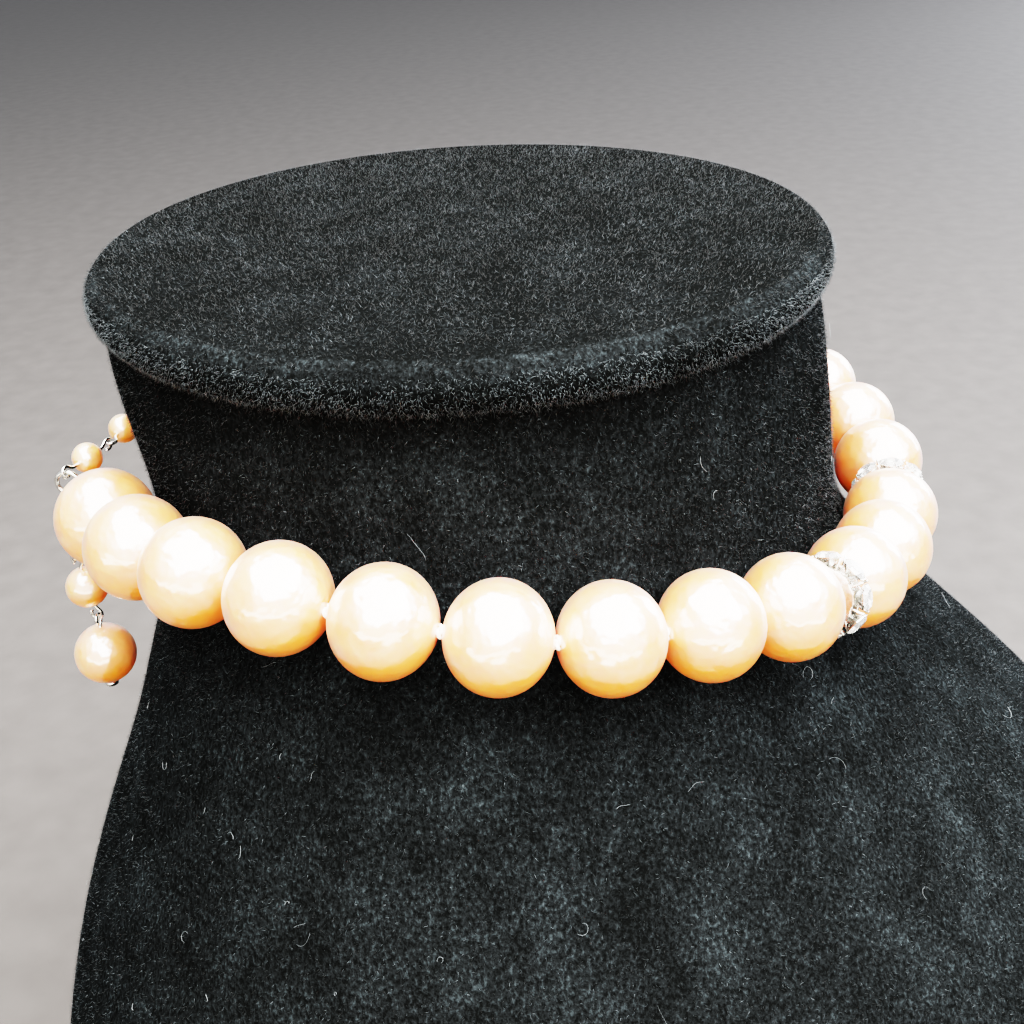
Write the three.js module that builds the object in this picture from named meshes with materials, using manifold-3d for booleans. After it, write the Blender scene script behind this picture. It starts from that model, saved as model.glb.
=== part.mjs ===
// Pearl choker necklace, fastened with a hook and a pearl extender, standing on a flocked neck bust.
// Millimetres, +Z up. The wearer faces -Y and the wearer's left is +X. The origin is the middle of the
// bust's flat base, so the neck stands behind it by neckAxisY.
import * as THREE from 'three';
import { mergeVertices } from 'three/addons/utils/BufferGeometryUtils.js';
import Module from 'manifold-3d';

const wasm = await Module();
wasm.setup();

// ---- driving dimensions ----
const gap = 0.3; // clearance kept between pieces that touch on the real necklace

const pearlDiameter = 12;
const pearlLength = 11.3; // along the thread: the pearls are a little button-shaped
const beadGap = 0.4; // between drill holes, where the silk knots sit
const pearlBore = 1.6;
const pearlsEachSide = 12; // on either side of the front rondelle
const pearlsInFrontGroup = 3; // between the front rondelle and the next one
const pearlFacets = { rows: 8, sides: 14 };

const rondelleDiameter = 9.8;
const rondelleWidth = 2.5;
const rondelleChamfer = 0.5;
const rondelleSides = 20;

const threadDiameter = 0.6;
const threadSides = 6;
const threadInCup = 0.9; // how far each end of the thread reaches into its metal cup

// A wire bent into an eye: radius is the eye's, to the middle of the wire.
const wireEye = { radius: 0.8, wire: 0.5 }; // extender
const tipEye = { radius: 1.1, wire: 0.5 }; // metal cup at each end of the strand
const hookEye = { radius: 1.15, wire: 0.7 };
const eyeOpening = 42; // degrees, from the stem to where the eye's wire starts
const eyeSteps = 8;
const wireSides = 6;
const wireSteps = 24;

const hook = { bend: 0.95, shankDip: 0.57, shankTurn: 0.45, lipStraight: 0.9, lipEnd: 1.8, lipRise: 1.33 };
const catchRingSize = { radius: 1.55, wire: 0.6 };

const tip = { length: 2.2, mouth: 3, inside: 1.2, wall: 0.5, eyeSunk: 0.2 };

const extenderDiameters = [4, 4, 4, 4, 4]; // fastened stretch, from the strand's left end to the ring
const hangingDiameters = [4.9, 5.6]; // below the catch ring
const smallBore = 1.1;
const smallFacets = { rows: 6, sides: 12 };

const drop = { diameter: 8.3, reach: 1.35 }; // reach: from the middle of the pin's eye to the pearl
const dropFacets = { rows: 8, sides: 16 };
const dropHead = { diameter: 1.8, thickness: 0.5, sides: 12 };

const neckAxisY = 30; // the neck's middle, behind the middle of the base
const strandLevel = 120; // height that the route's rows are given from

// The strand's route round the neck, to the middle of its pearls. angle is taken from the front, positive
// towards the wearer's left; radius is taken from the neck's middle; rise is above strandLevel.
const routeInFront = [
  { angle: -7, radius: 56.3, rise: -7.2 },
  { angle: 7, radius: 56.3, rise: -5.5 },
];
const routeOnEachSide = [
  { angle: 19, radius: 56.7, rise: -5.0 },
  { angle: 31, radius: 56.9, rise: -3.8 },
  { angle: 45, radius: 58.0, rise: -0.6 },
  { angle: 68, radius: 58.7, rise: 3.2 },
  { angle: 79, radius: 58.4, rise: 4.7 },
  { angle: 90, radius: 57.5, rise: 6.8 },
  { angle: 102, radius: 56.3, rise: 7.4 },
  { angle: 114, radius: 54.9, rise: 8.0 },
  { angle: 127, radius: 53.7, rise: 6.4 },
  { angle: 139, radius: 51.2, rise: 5.4 },
  { angle: 150, radius: 51.6, rise: 4.9 },
];

// The catch ring, and the joints of the extender's hanging end below it.
const catchRing = { angle: -157.6, radius: 53.6, rise: 3.5 };
const hangingJoints = [
  { outward: 1.0, drop: 10.6 },
  { outward: -0.1, drop: 20.0 },
];
// Where the fastened stretch passes behind the neck, between the catch ring and the strand's left end.
const extenderRoute = [
  { angle: -166, radius: 48.8, rise: 5.0 },
  { angle: 180, radius: 47.0, rise: 5.0 },
  { angle: 166, radius: 47.9, rise: 5.0 },
];

// The bust's outline: how far the skin is from the neck's middle to the front, the back and each side.
const bustSections = [
  { height: 3, front: 125.5, back: 65.5, side: 105.5 },
  { height: 12, front: 125, back: 65.5, side: 105 },
  { height: 25, front: 121.5, back: 65.3, side: 102.5 },
  { height: 40, front: 113, back: 64, side: 97 },
  { height: 58, front: 99, back: 60.5, side: 88.3 },
  { height: 74, front: 84.5, back: 54.8, side: 79.5 },
  { height: 88, front: 69.5, back: 48.8, side: 71 },
  { height: 100, front: 57.5, back: 44.8, side: 63.5 },
  { height: 110, front: 50.6, back: 41.6, side: 57.8 },
  { height: 118, front: 48.6, back: 41.0, side: 53.6 },
  { height: 126, front: 47.9, back: 42.1, side: 49.8 },
  { height: 134, front: 47.0, back: 44.6, side: 47.4 },
  { height: 141, front: 46.0, back: 45.9, side: 45.8 },
];
const bustBase = { height: 0, front: 123.5, back: 63.5, side: 103.5 };
const rim = { height: 147.4, front: 43.9, back: 43.9, side: 45.7, roll: 3.3 }; // rounded top edge
const rimArc = { from: -75, to: 90, steps: 6 }; // degrees, up the outside of the roll
const bustSides = 48;
const bustRowsBetween = 2;

// ---- materials ----
const pearlFinish = new THREE.MeshStandardMaterial({ color: 0xf6dcb8, roughness: 0.22, metalness: 0 });
const silverFinish = new THREE.MeshStandardMaterial({ color: 0xd6d6d2, roughness: 0.2, metalness: 1 });
const silkFinish = new THREE.MeshStandardMaterial({ color: 0xf4eee0, roughness: 0.7, metalness: 0 });
const flockFinish = new THREE.MeshStandardMaterial({ color: 0x17191a, roughness: 0.95, metalness: 0 });

const choker = new THREE.Group();

function addPiece(name, geometry, finish) {
  const mesh = new THREE.Mesh(geometry, finish.clone());
  mesh.name = name;
  choker.add(mesh);
  return mesh;
}

// ---- places ----
// A point given by its angle from the front, its distance from the neck's middle and its rise.
function placeOf({ angle, radius, rise }) {
  const turn = THREE.MathUtils.degToRad(angle);
  return new THREE.Vector3(
    radius * Math.sin(turn), neckAxisY - radius * Math.cos(turn), strandLevel + rise);
}

const halvings = 40; // rounds of halving in every search along a curve

// The point of a curve, by its parameter, where isBefore turns from true to false.
function turningPoint(low, high, isBefore) {
  let before = low;
  let after = high;
  for (let round = 0; round < halvings; round += 1) {
    const middle = (before + after) / 2;
    if (isBefore(middle)) before = middle;
    else after = middle;
  }
  return after;
}

// Walks along a curve from a start parameter until it is one chord away, forwards or backwards.
function chordEnd(curve, start, chord, direction) {
  const from = curve.getPoint(start);
  const stride = 0.002 * direction;
  const isShort = (at) => curve.getPoint(at).distanceTo(from) < chord;
  let far = start;
  while (isShort(far)) far += stride;
  return turningPoint(far - stride, far, isShort);
}

// Splits a curve into a number of equal chords and returns their end points.
function equalChords(curve, count) {
  const stride = 0.0005;
  const jointsFor = (chord) => {
    const joints = [curve.getPoint(0)];
    let at = 0;
    for (let link = 0; link < count && at < 1; link += 1) {
      while (at < 1 && curve.getPoint(at).distanceTo(joints[link]) < chord) at += stride;
      joints.push(curve.getPoint(Math.min(at, 1)));
    }
    return { joints, isShort: at < 1 };
  };
  const chord = turningPoint(1, curve.getLength() / count, (length) => jointsFor(length).isShort);
  const { joints } = jointsFor(chord);
  joints[count] = curve.getPoint(1);
  return joints;
}

// A path that is straight between its points, so that it runs straight inside each bead.
class StraightRuns extends THREE.Curve {
  constructor(points) {
    super();
    this.points = points;
  }

  getPoint(t, target = new THREE.Vector3()) {
    const along = t * (this.points.length - 1);
    const run = Math.min(Math.floor(along), this.points.length - 2);
    return target.lerpVectors(this.points[run], this.points[run + 1], along - run);
  }

  getPointAt(u, target) {
    return this.getPoint(u, target);
  }

  getTangentAt(u, target = new THREE.Vector3()) {
    const step = 0.25 / this.points.length;
    const behind = this.getPoint(Math.max(u - step, 0));
    const ahead = this.getPoint(Math.min(u + step, 1));
    return target.subVectors(ahead, behind).normalize();
  }
}

// ---- shapes ----
function sectionOf(diameter, sides) {
  const section = new THREE.Shape();
  for (let side = 0; side < sides; side += 1) {
    const turn = (side / sides) * 2 * Math.PI;
    const x = (diameter / 2) * Math.cos(turn);
    const y = (diameter / 2) * Math.sin(turn);
    if (side === 0) section.moveTo(x, y);
    else section.lineTo(x, y);
  }
  section.closePath();
  return section;
}

function wireAlong(path, steps, diameter, sides) {
  return new THREE.ExtrudeGeometry(sectionOf(diameter, sides), {
    steps, extrudePath: path, bevelEnabled: false, curveSegments: 1,
  });
}

// A drilled bead about its own Y axis: half an ellipse outside, a straight bore inside.
function beadGeometry(diameter, length, bore, { rows, sides }) {
  const mouth = Math.asin(bore / diameter);
  const profile = [];
  for (let row = 0; row <= rows; row += 1) {
    const turn = mouth + (row / rows) * (Math.PI - 2 * mouth);
    const out = (diameter / 2) * Math.sin(turn);
    profile.push(new THREE.Vector2(out, (-length / 2) * Math.cos(turn)));
  }
  profile.push(profile[0].clone());
  return new THREE.LatheGeometry(profile, sides);
}

function ringGeometry({ radius, wire }, around, sides) {
  return new THREE.TorusGeometry(radius, wire / 2, sides, around);
}

function pointAlong(mesh, direction) {
  mesh.quaternion.setFromUnitVectors(new THREE.Vector3(0, 1, 0), direction);
  return mesh;
}

// Local X along the direction, and local Z, the normal of the eyes' plane, as near to facing as it can be.
function frameOf(direction, facing) {
  const along = direction.clone().normalize();
  const across = new THREE.Vector3().crossVectors(facing, along).normalize();
  const normal = new THREE.Vector3().crossVectors(along, across);
  return new THREE.Matrix4().makeBasis(along, across, normal);
}

function solidOf(geometry) {
  const bare = geometry.clone();
  bare.deleteAttribute('normal');
  bare.deleteAttribute('uv');
  const merged = mergeVertices(bare, 1e-4);
  return new wasm.Manifold(new wasm.Mesh({
    numProp: 3,
    vertProperties: new Float32Array(merged.attributes.position.array),
    triVerts: new Uint32Array(merged.index.array),
  }));
}

function geometryOf(solid) {
  const { vertProperties, triVerts } = solid.getMesh();
  const geometry = new THREE.BufferGeometry();
  geometry.setAttribute('position', new THREE.BufferAttribute(new Float32Array(vertProperties), 3));
  geometry.setIndex(new THREE.BufferAttribute(new Uint32Array(triVerts), 1));
  geometry.computeVertexNormals();
  return geometry;
}

// One eye in the local XY plane, centred on X = at. Its stem leaves along X by side (+1 or -1), straight
// from one and a half wires away.
function eyePoints(at, side, { radius, wire }) {
  const open = THREE.MathUtils.degToRad(eyeOpening);
  const points = [];
  for (let step = 0; step <= eyeSteps; step += 1) {
    const turn = open + (step / eyeSteps) * (2 * Math.PI - 2 * open);
    points.push(new THREE.Vector3(at + side * radius * Math.cos(turn), radius * Math.sin(turn), 0));
  }
  points.push(new THREE.Vector3(at + side * (radius + 0.7 * wire), -0.15 * wire, 0));
  points.push(new THREE.Vector3(at + side * (radius + 1.5 * wire), 0, 0));
  return points;
}

// How far apart the middles of two linked eyes lie, so that their wires clear each other.
function slack(first, second) {
  return first.radius + second.radius - (first.wire + second.wire) / 2 - gap;
}

function smoothPath(points) {
  return new THREE.CatmullRomCurve3(points, false, 'centripetal');
}

// A wire with an eye at each end, its stem on local X.
function eyeWirePath(length, eye) {
  const first = eyePoints(-length / 2, 1, eye);
  const last = eyePoints(length / 2, -1, eye).reverse();
  return smoothPath([...first, ...last]);
}

// ---- the strand ----
const onTheRight = ({ angle, radius, rise }) => ({ angle: -angle, radius, rise });
const strandRoute = [
  ...[...routeOnEachSide].reverse().map(onTheRight), ...routeInFront, ...routeOnEachSide,
];
const strand = smoothPath(strandRoute.map(placeOf));
const pearlCell = pearlLength + beadGap;
const rondelleCell = rondelleWidth + beadGap;

// Beads on one side of the front rondelle, nearest the front first.
function beadsOnOneSide(sideName) {
  const beads = [];
  for (let pearl = 1; pearl <= pearlsEachSide; pearl += 1) {
    beads.push({ kind: 'pearl', cell: pearlCell });
    if (pearl === pearlsInFrontGroup) {
      beads.push({ kind: 'rondelle', cell: rondelleCell, name: `rondelle_${sideName}` });
    }
  }
  return beads;
}

// Where the route crosses the middle plane, within the middle part of the strand.
const frontAt = turningPoint(0.3, 0.7, (at) => strand.getPoint(at).x < 0);

function beadMesh(kind, name) {
  if (kind === 'pearl') {
    return addPiece(name, beadGeometry(pearlDiameter, pearlLength, pearlBore, pearlFacets), pearlFinish);
  }
  const half = rondelleWidth / 2;
  const bore = pearlBore / 2;
  const outer = rondelleDiameter / 2;
  const flat = outer - rondelleChamfer;
  const edge = half - rondelleChamfer;
  const profile = [
    [bore, -half], [flat, -half], [outer, -edge], [outer, edge], [flat, half], [bore, half], [bore, -half],
  ].map(([r, y]) => new THREE.Vector2(r, y));
  return addPiece(name, new THREE.LatheGeometry(profile, rondelleSides), silverFinish);
}

// Threads the beads of one side and returns the points where the thread turns between them.
function threadSide(sideName, direction) {
  let at = chordEnd(strand, frontAt, rondelleCell / 2, direction);
  const turns = [strand.getPoint(at)];
  let pearl = direction < 0 ? pearlsEachSide : pearlsEachSide + 1;
  for (const bead of beadsOnOneSide(sideName)) {
    const next = chordEnd(strand, at, bead.cell, direction);
    const from = strand.getPoint(at);
    const to = strand.getPoint(next);
    const name = bead.name ?? `pearl_${String(pearl).padStart(2, '0')}`;
    if (bead.kind === 'pearl') pearl += direction;
    const mesh = beadMesh(bead.kind, name);
    mesh.position.lerpVectors(from, to, 0.5);
    pointAlong(mesh, new THREE.Vector3().subVectors(to, from).normalize());
    turns.push(to);
    at = next;
  }
  return turns;
}

const rightTurns = threadSide('right', -1);
const leftTurns = threadSide('left', 1);
const frontRondelle = beadMesh('rondelle', 'rondelle_front');
frontRondelle.position.lerpVectors(rightTurns[0], leftTurns[0], 0.5);
pointAlong(frontRondelle, new THREE.Vector3().subVectors(leftTurns[0], rightTurns[0]).normalize());

// Direction in which each end of the strand leaves its last pearl, held level.
function endDirection(turns) {
  const [inner, outer] = turns.slice(-2);
  return new THREE.Vector3().subVectors(outer, inner).setZ(0).normalize();
}

// ---- the metal ends ----
const up = new THREE.Vector3(0, 0, 1);
const down = up.clone().negate();
const sideways = (way) => new THREE.Vector3().crossVectors(up, way).normalize();
const towards = (from, to) => new THREE.Vector3().subVectors(to, from).normalize();

// A cup that closes one end of the strand, with a soldered eye. facing is the normal of the eye's plane.
// Returns the middle of its eye.
function beadTip(name, start, direction, facing) {
  const mouth = tip.mouth / 2;
  const inside = tip.inside / 2;
  const profile = [
    [0, tip.length - tip.wall], [inside, tip.length - 2 * tip.wall], [inside, 0], [mouth, 0],
    [mouth * 0.95, tip.length * 0.36], [mouth * 0.66, tip.length * 0.73], [0, tip.length],
  ].map(([r, y]) => new THREE.Vector2(r, y));
  const cup = new THREE.LatheGeometry(profile, 12);
  cup.rotateZ(-Math.PI / 2);
  const eyeAt = tip.length + tipEye.radius - tip.eyeSunk;
  const eye = ringGeometry(tipEye, 12, wireSides).translate(eyeAt, 0, 0);
  const piece = addPiece(name, geometryOf(solidOf(cup).add(solidOf(eye))), silverFinish);
  piece.applyMatrix4(frameOf(direction, facing));
  piece.position.copy(start).addScaledVector(direction, gap / 2);
  return piece.position.clone().addScaledVector(direction, eyeAt);
}

const rightEnd = rightTurns[rightTurns.length - 1];
const leftEnd = leftTurns[leftTurns.length - 1];
const rightWay = endDirection(rightTurns);
const leftWay = endDirection(leftTurns);
const rightTipEye = beadTip('bead_tip_right', rightEnd, rightWay, sideways(rightWay));
const leftTipEye = beadTip('bead_tip_left', leftEnd, leftWay, up);

// Thread: through every bore, and a little way into each metal cup.
function silkThread() {
  const points = [
    rightEnd.clone().addScaledVector(rightWay, threadInCup),
    ...[...rightTurns].reverse(),
    ...leftTurns,
    leftEnd.clone().addScaledVector(leftWay, threadInCup),
  ];
  const thread = wireAlong(new StraightRuns(points), points.length - 1, threadDiameter, threadSides);
  addPiece('silk_thread', thread, silkFinish);
}
silkThread();

// ---- catch ring and hook ----
const ringCentre = placeOf(catchRing);
const outward = new THREE.Vector3(ringCentre.x, ringCentre.y - neckAxisY, 0).normalize();
const ringNormal = new THREE.Vector3(1, 0, 0);
const ringEdgeOn = new THREE.Vector3(0, 1, 0);
const ringTop = ringCentre.clone().addScaledVector(up, catchRingSize.radius);
const ringFoot = ringCentre.clone().addScaledVector(down, catchRingSize.radius);
const ringNearSide = ringCentre.clone().addScaledVector(ringEdgeOn, -catchRingSize.radius);

// The hook lies level: an eye through the right cup's eye, a shank, a bend round the ring's near side and
// a lip turned outwards.
function claspHook() {
  const way = towards(rightTipEye, ringNearSide);
  const start = rightTipEye.clone().addScaledVector(way, slack(tipEye, hookEye));
  const run = new THREE.Vector3().subVectors(ringNearSide, start);
  const reach = run.length();
  const points = eyePoints(0, 1, hookEye);
  points.push(new THREE.Vector3(reach * hook.shankTurn, -hook.shankDip, 0));
  for (let turn = -90; turn <= 90; turn += 30) {
    const bend = THREE.MathUtils.degToRad(turn);
    points.push(new THREE.Vector3(reach + hook.bend * Math.cos(bend), hook.bend * Math.sin(bend), 0));
  }
  points.push(new THREE.Vector3(reach - hook.lipStraight, hook.bend, 0));
  points.push(new THREE.Vector3(reach - hook.lipEnd, hook.lipRise, 0));
  const wire = wireAlong(smoothPath(points), 30, hookEye.wire, 8);
  const piece = addPiece('clasp_hook', wire, silverFinish);
  piece.applyMatrix4(frameOf(run, up));
  piece.position.copy(start);
}
claspHook();

const ringShape = ringGeometry(catchRingSize, 20, 8);
const ring = addPiece('catch_ring', ringShape, silverFinish);
ring.quaternion.setFromUnitVectors(up, ringNormal);
ring.position.copy(ringCentre);

// ---- the extender ----
// A small pearl on its eye wire. from and to are the middles of the two eyes.
function pearlOnWire(label, from, to, diameter, facing) {
  const run = new THREE.Vector3().subVectors(to, from);
  const stem = wireAlong(eyeWirePath(run.length(), wireEye), wireSteps, wireEye.wire, wireSides);
  const wire = addPiece(`extender_link_${label}`, stem, silverFinish);
  wire.applyMatrix4(frameOf(run, facing));
  wire.position.lerpVectors(from, to, 0.5);
  const bead = beadGeometry(diameter, diameter, smallBore, smallFacets);
  const pearl = addPiece(`extender_pearl_${label}`, bead, pearlFinish);
  pearl.position.lerpVectors(from, to, 0.5);
  pointAlong(pearl, run.normalize());
}

const fastenedCount = extenderDiameters.length;
const halfSlack = slack(wireEye, wireEye) / 2;

// Equal links from the catch ring to the strand's left end, each a quarter turn round from the one before.
function fastenedStretch() {
  const route = smoothPath([ringTop, ...extenderRoute.map(placeOf), leftTipEye]);
  const joints = equalChords(route, fastenedCount);
  for (let link = 0; link < fastenedCount; link += 1) {
    const way = towards(joints[link], joints[link + 1]);
    const isLast = link === fastenedCount - 1;
    const from = joints[link].clone().addScaledVector(way, link === 0 ? 0 : halfSlack);
    const to = joints[link + 1].clone().addScaledVector(way, isLast ? -slack(wireEye, tipEye) : -halfSlack);
    const facing = link % 2 === 0 ? sideways(way) : up;
    const label = fastenedCount - link;
    pearlOnWire(label, from, to, extenderDiameters[label - 1], facing);
  }
}
fastenedStretch();

// Hanging end: from the foot of the catch ring down to the drop. Returns the joint that the drop hangs on.
function hangingEnd() {
  const joints = [ringFoot, ...hangingJoints.map((row) =>
    ringCentre.clone().addScaledVector(outward, row.outward).addScaledVector(down, row.drop))];
  hangingDiameters.forEach((diameter, link) => {
    const way = towards(joints[link], joints[link + 1]);
    const from = joints[link].clone().addScaledVector(way, link === 0 ? 0 : halfSlack);
    const to = joints[link + 1].clone().addScaledVector(way, -halfSlack);
    pearlOnWire(fastenedCount + 1 + link, from, to, diameter, link % 2 === 0 ? ringEdgeOn : ringNormal);
  });
  return joints[joints.length - 1];
}

// The drop: a head pin through the largest of the extender's pearls.
function dropOnPin(joint) {
  const eye = joint.clone().addScaledVector(down, halfSlack);
  const headAt = drop.reach + drop.diameter + gap;
  const path = smoothPath([
    ...eyePoints(0, 1, wireEye),
    new THREE.Vector3(drop.reach + drop.diameter / 2, 0, 0),
    new THREE.Vector3(headAt + dropHead.thickness / 2, 0, 0),
  ]);
  const stem = wireAlong(path, wireSteps, wireEye.wire, wireSides);
  const headRadius = dropHead.diameter / 2;
  const head = new THREE.CylinderGeometry(headRadius, headRadius, dropHead.thickness, dropHead.sides);
  head.rotateZ(Math.PI / 2).translate(headAt + dropHead.thickness / 2, 0, 0);
  const pin = addPiece('drop_pin', geometryOf(solidOf(stem).add(solidOf(head))), silverFinish);
  pin.applyMatrix4(frameOf(down, ringEdgeOn));
  pin.position.copy(eye);
  const bead = beadGeometry(drop.diameter, drop.diameter, smallBore, dropFacets);
  const pearl = addPiece('drop_pearl', bead, pearlFinish);
  pearl.position.copy(eye).addScaledVector(down, drop.reach + drop.diameter / 2);
  pointAlong(pearl, up);
}
dropOnPin(hangingEnd());

// ---- the neck bust ----
// Smooth lines through the sections, and the rows of the loft taken from them.
function bustRows() {
  const reaches = ['front', 'back', 'side'];
  const lines = reaches.map((reach) => new THREE.SplineCurve(
    bustSections.map((row) => new THREE.Vector2(row[reach], row.height))));
  const rows = [bustBase];
  const count = (bustSections.length - 1) * bustRowsBetween;
  for (let row = 0; row <= count; row += 1) {
    const [front, back, side] = lines.map((line) => line.getPoint(row / count));
    rows.push({ height: front.y, front: front.x, back: back.x, side: side.x });
  }
  for (let step = 0; step <= rimArc.steps; step += 1) {
    const degrees = rimArc.from + (step / rimArc.steps) * (rimArc.to - rimArc.from);
    const turn = THREE.MathUtils.degToRad(degrees);
    const out = rim.roll * Math.cos(turn);
    rows.push({
      height: rim.height + rim.roll * Math.sin(turn),
      front: rim.front + out, back: rim.back + out, side: rim.side + out,
    });
  }
  return rows;
}

// A lathe of unit radius, drawn out at each row to the bust's oval section.
function neckBust() {
  const rows = bustRows();
  const profile = [new THREE.Vector2(0, 0)];
  rows.forEach((row, index) => profile.push(new THREE.Vector2(1, index)));
  profile.push(new THREE.Vector2(0, rows.length - 1));
  const geometry = new THREE.LatheGeometry(profile, bustSides);
  const place = geometry.attributes.position;
  for (let corner = 0; corner < place.count; corner += 1) {
    const row = rows[Math.round(place.getY(corner))];
    const x = place.getX(corner);
    const forward = place.getZ(corner);
    const reach = forward > 0 ? row.front : row.back;
    place.setXYZ(corner, x * row.side, neckAxisY - forward * reach, row.height);
  }
  geometry.computeVertexNormals();
  addPiece('neck_bust', geometry, flockFinish);
}
neckBust();

export default choker;
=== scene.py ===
# Pearl choker on a flocked neck bust: the looks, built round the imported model.
# Metres, +Z up. The wearer faces -Y and the wearer's left is +X, as in the frame.
import math

import bmesh
import bpy
import numpy
from mathutils import Matrix, Vector


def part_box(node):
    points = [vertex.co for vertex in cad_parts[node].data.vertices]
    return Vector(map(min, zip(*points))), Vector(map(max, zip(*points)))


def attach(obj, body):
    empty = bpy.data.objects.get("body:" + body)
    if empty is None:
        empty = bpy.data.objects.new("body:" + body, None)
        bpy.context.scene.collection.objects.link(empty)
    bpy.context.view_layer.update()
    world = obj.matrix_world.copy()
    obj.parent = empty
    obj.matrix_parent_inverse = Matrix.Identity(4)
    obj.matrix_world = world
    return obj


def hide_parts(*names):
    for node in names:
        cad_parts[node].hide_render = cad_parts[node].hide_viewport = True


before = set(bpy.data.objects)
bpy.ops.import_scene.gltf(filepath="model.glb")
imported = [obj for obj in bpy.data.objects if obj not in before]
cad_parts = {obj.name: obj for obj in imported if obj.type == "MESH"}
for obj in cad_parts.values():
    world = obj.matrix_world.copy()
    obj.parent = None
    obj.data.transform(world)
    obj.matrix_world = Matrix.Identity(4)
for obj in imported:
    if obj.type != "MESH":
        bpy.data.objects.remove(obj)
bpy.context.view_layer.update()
mm = 0.001
weld = 0.01 * mm  # corners nearer than this are one corner
square = 0.9  # a normal's part along an axis, above which its face counts as square to that axis
print("frame loaded")


# small tools for the whole script
def linear(hexColour):  # sRGB hex to the linear colour that the shaders take
    values = [int(hexColour[i : i + 2], 16) / 255 for i in (1, 3, 5)]
    return tuple(v / 12.92 if v <= 0.04045 else ((v + 0.055) / 1.055) ** 2.4 for v in values) + (1.0,)


def perMetre(sizeMm):  # texture scale whose pattern repeats about every sizeMm
    return 1 / (sizeMm * mm)


def startClean():
    if bpy.context.object and bpy.context.object.mode != "OBJECT":
        bpy.ops.object.mode_set(mode="OBJECT")
    bpy.ops.object.select_all(action="DESELECT")


def useAlone(piece):
    startClean()
    piece.select_set(True)
    bpy.context.view_layer.objects.active = piece


def editPiece(piece):
    useAlone(piece)
    bpy.ops.object.mode_set(mode="EDIT")
    bpy.ops.mesh.select_mode(type="VERT")


def pick(piece, kind, test):  # in edit mode, selects the verts, edges or faces that pass
    bpy.ops.mesh.select_all(action="DESELECT")
    shape = bmesh.from_edit_mesh(piece.data)
    for item in getattr(shape, kind):
        if test(item):
            item.select_set(True)
    shape.select_flush(True)
    bmesh.update_edit_mesh(piece.data)


def finishEdit():
    bpy.ops.object.mode_set(mode="OBJECT")


def modify(piece, kind, **settings):
    useAlone(piece)
    modifier = piece.modifiers.new(kind.title(), kind)
    for name, value in settings.items():
        setattr(modifier, name, value)
    bpy.ops.object.modifier_apply(modifier=modifier.name)


def copyAt(master, name, place):  # a copy with its own mesh, its place in the mesh
    piece = master.copy()
    piece.data = master.data.copy()
    piece.name = name
    bpy.context.scene.collection.objects.link(piece)
    piece.data.transform(place)
    return piece


def copyOfNode(node, name):  # a welded copy of a CAD node's mesh, to be made fine
    piece = bpy.data.objects.new(name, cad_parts[node].data.copy())
    bpy.context.scene.collection.objects.link(piece)
    piece.data.materials.clear()
    editPiece(piece)
    bpy.ops.mesh.select_all(action="SELECT")
    bpy.ops.mesh.remove_doubles(threshold=weld)
    bpy.ops.mesh.tris_convert_to_quads()
    finishEdit()
    return piece


def joinAll(pieces, name):
    startClean()
    for piece in pieces:
        piece.select_set(True)
    bpy.context.view_layer.objects.active = pieces[0]
    bpy.ops.object.join()
    pieces[0].name = name
    return pieces[0]


def remove(piece):
    bpy.data.objects.remove(piece)


def smooth(piece, degrees):  # edges sharper than this stay sharp
    useAlone(piece)
    bpy.ops.object.shade_smooth_by_angle(angle=math.radians(degrees))


def handOver(piece, material, slot, *nodes):
    if material:
        piece.data.materials.clear()
        piece.data.materials.append(material)
    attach(piece, "root")
    if nodes:
        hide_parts(*nodes)
    return piece


def newMaterial(name):
    material = bpy.data.materials.new(name)
    material.use_nodes = True
    material.node_tree.nodes.clear()
    return material


def addNode(material, kind, settings=None, links=None):
    node = material.node_tree.nodes.new(kind)
    for name, value in (settings or {}).items():
        if name in node.inputs:
            node.inputs[name].default_value = value
        else:
            setattr(node, name, value)
    for name, source in (links or {}).items():
        material.node_tree.links.new(source, node.inputs[name])
    return node


def rampStops(ramp, stops):  # (position, hex) from dark to light
    elements = ramp.color_ramp.elements
    while len(elements) < len(stops):
        elements.new(0.5)
    for element, (position, colour) in zip(elements, stops):
        element.position = position
        element.color = linear(colour)


def centreOf(node):
    low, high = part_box(node)
    return (low + high) / 2


# camera, floor and light
view = {
    "eyeMm": (-173.0, 0.6, 199.2),
    "headingDegrees": 8.1,  # turned from +X towards +Y
    "downDegrees": 27.2,
    "rollDegrees": 3.1,
    "lensMm": 48.97,
    "sensorMm": 36,
    "nearestMm": 10,  # nothing nearer than this shows
}


def setCamera():
    heading = math.radians(view["headingDegrees"])
    down = math.radians(view["downDegrees"])
    forward = Vector((
        math.cos(heading) * math.cos(down),
        math.sin(heading) * math.cos(down),
        -math.sin(down),
    ))
    roll = Matrix.Rotation(math.radians(view["rollDegrees"]), 3, forward)
    right = roll @ forward.cross(Vector((0, 0, 1))).normalized()
    up = right.cross(forward)
    camera = bpy.data.objects.new("camera", bpy.data.cameras.new("camera"))
    bpy.context.scene.collection.objects.link(camera)
    axes = Matrix((right, up, -forward)).transposed()
    camera.matrix_world = Matrix.Translation(Vector(view["eyeMm"]) * mm) @ axes.to_4x4()
    camera.data.lens = view["lensMm"]
    camera.data.sensor_width = view["sensorMm"]
    camera.data.clip_start = view["nearestMm"] * mm
    bpy.context.scene.camera = camera


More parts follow.
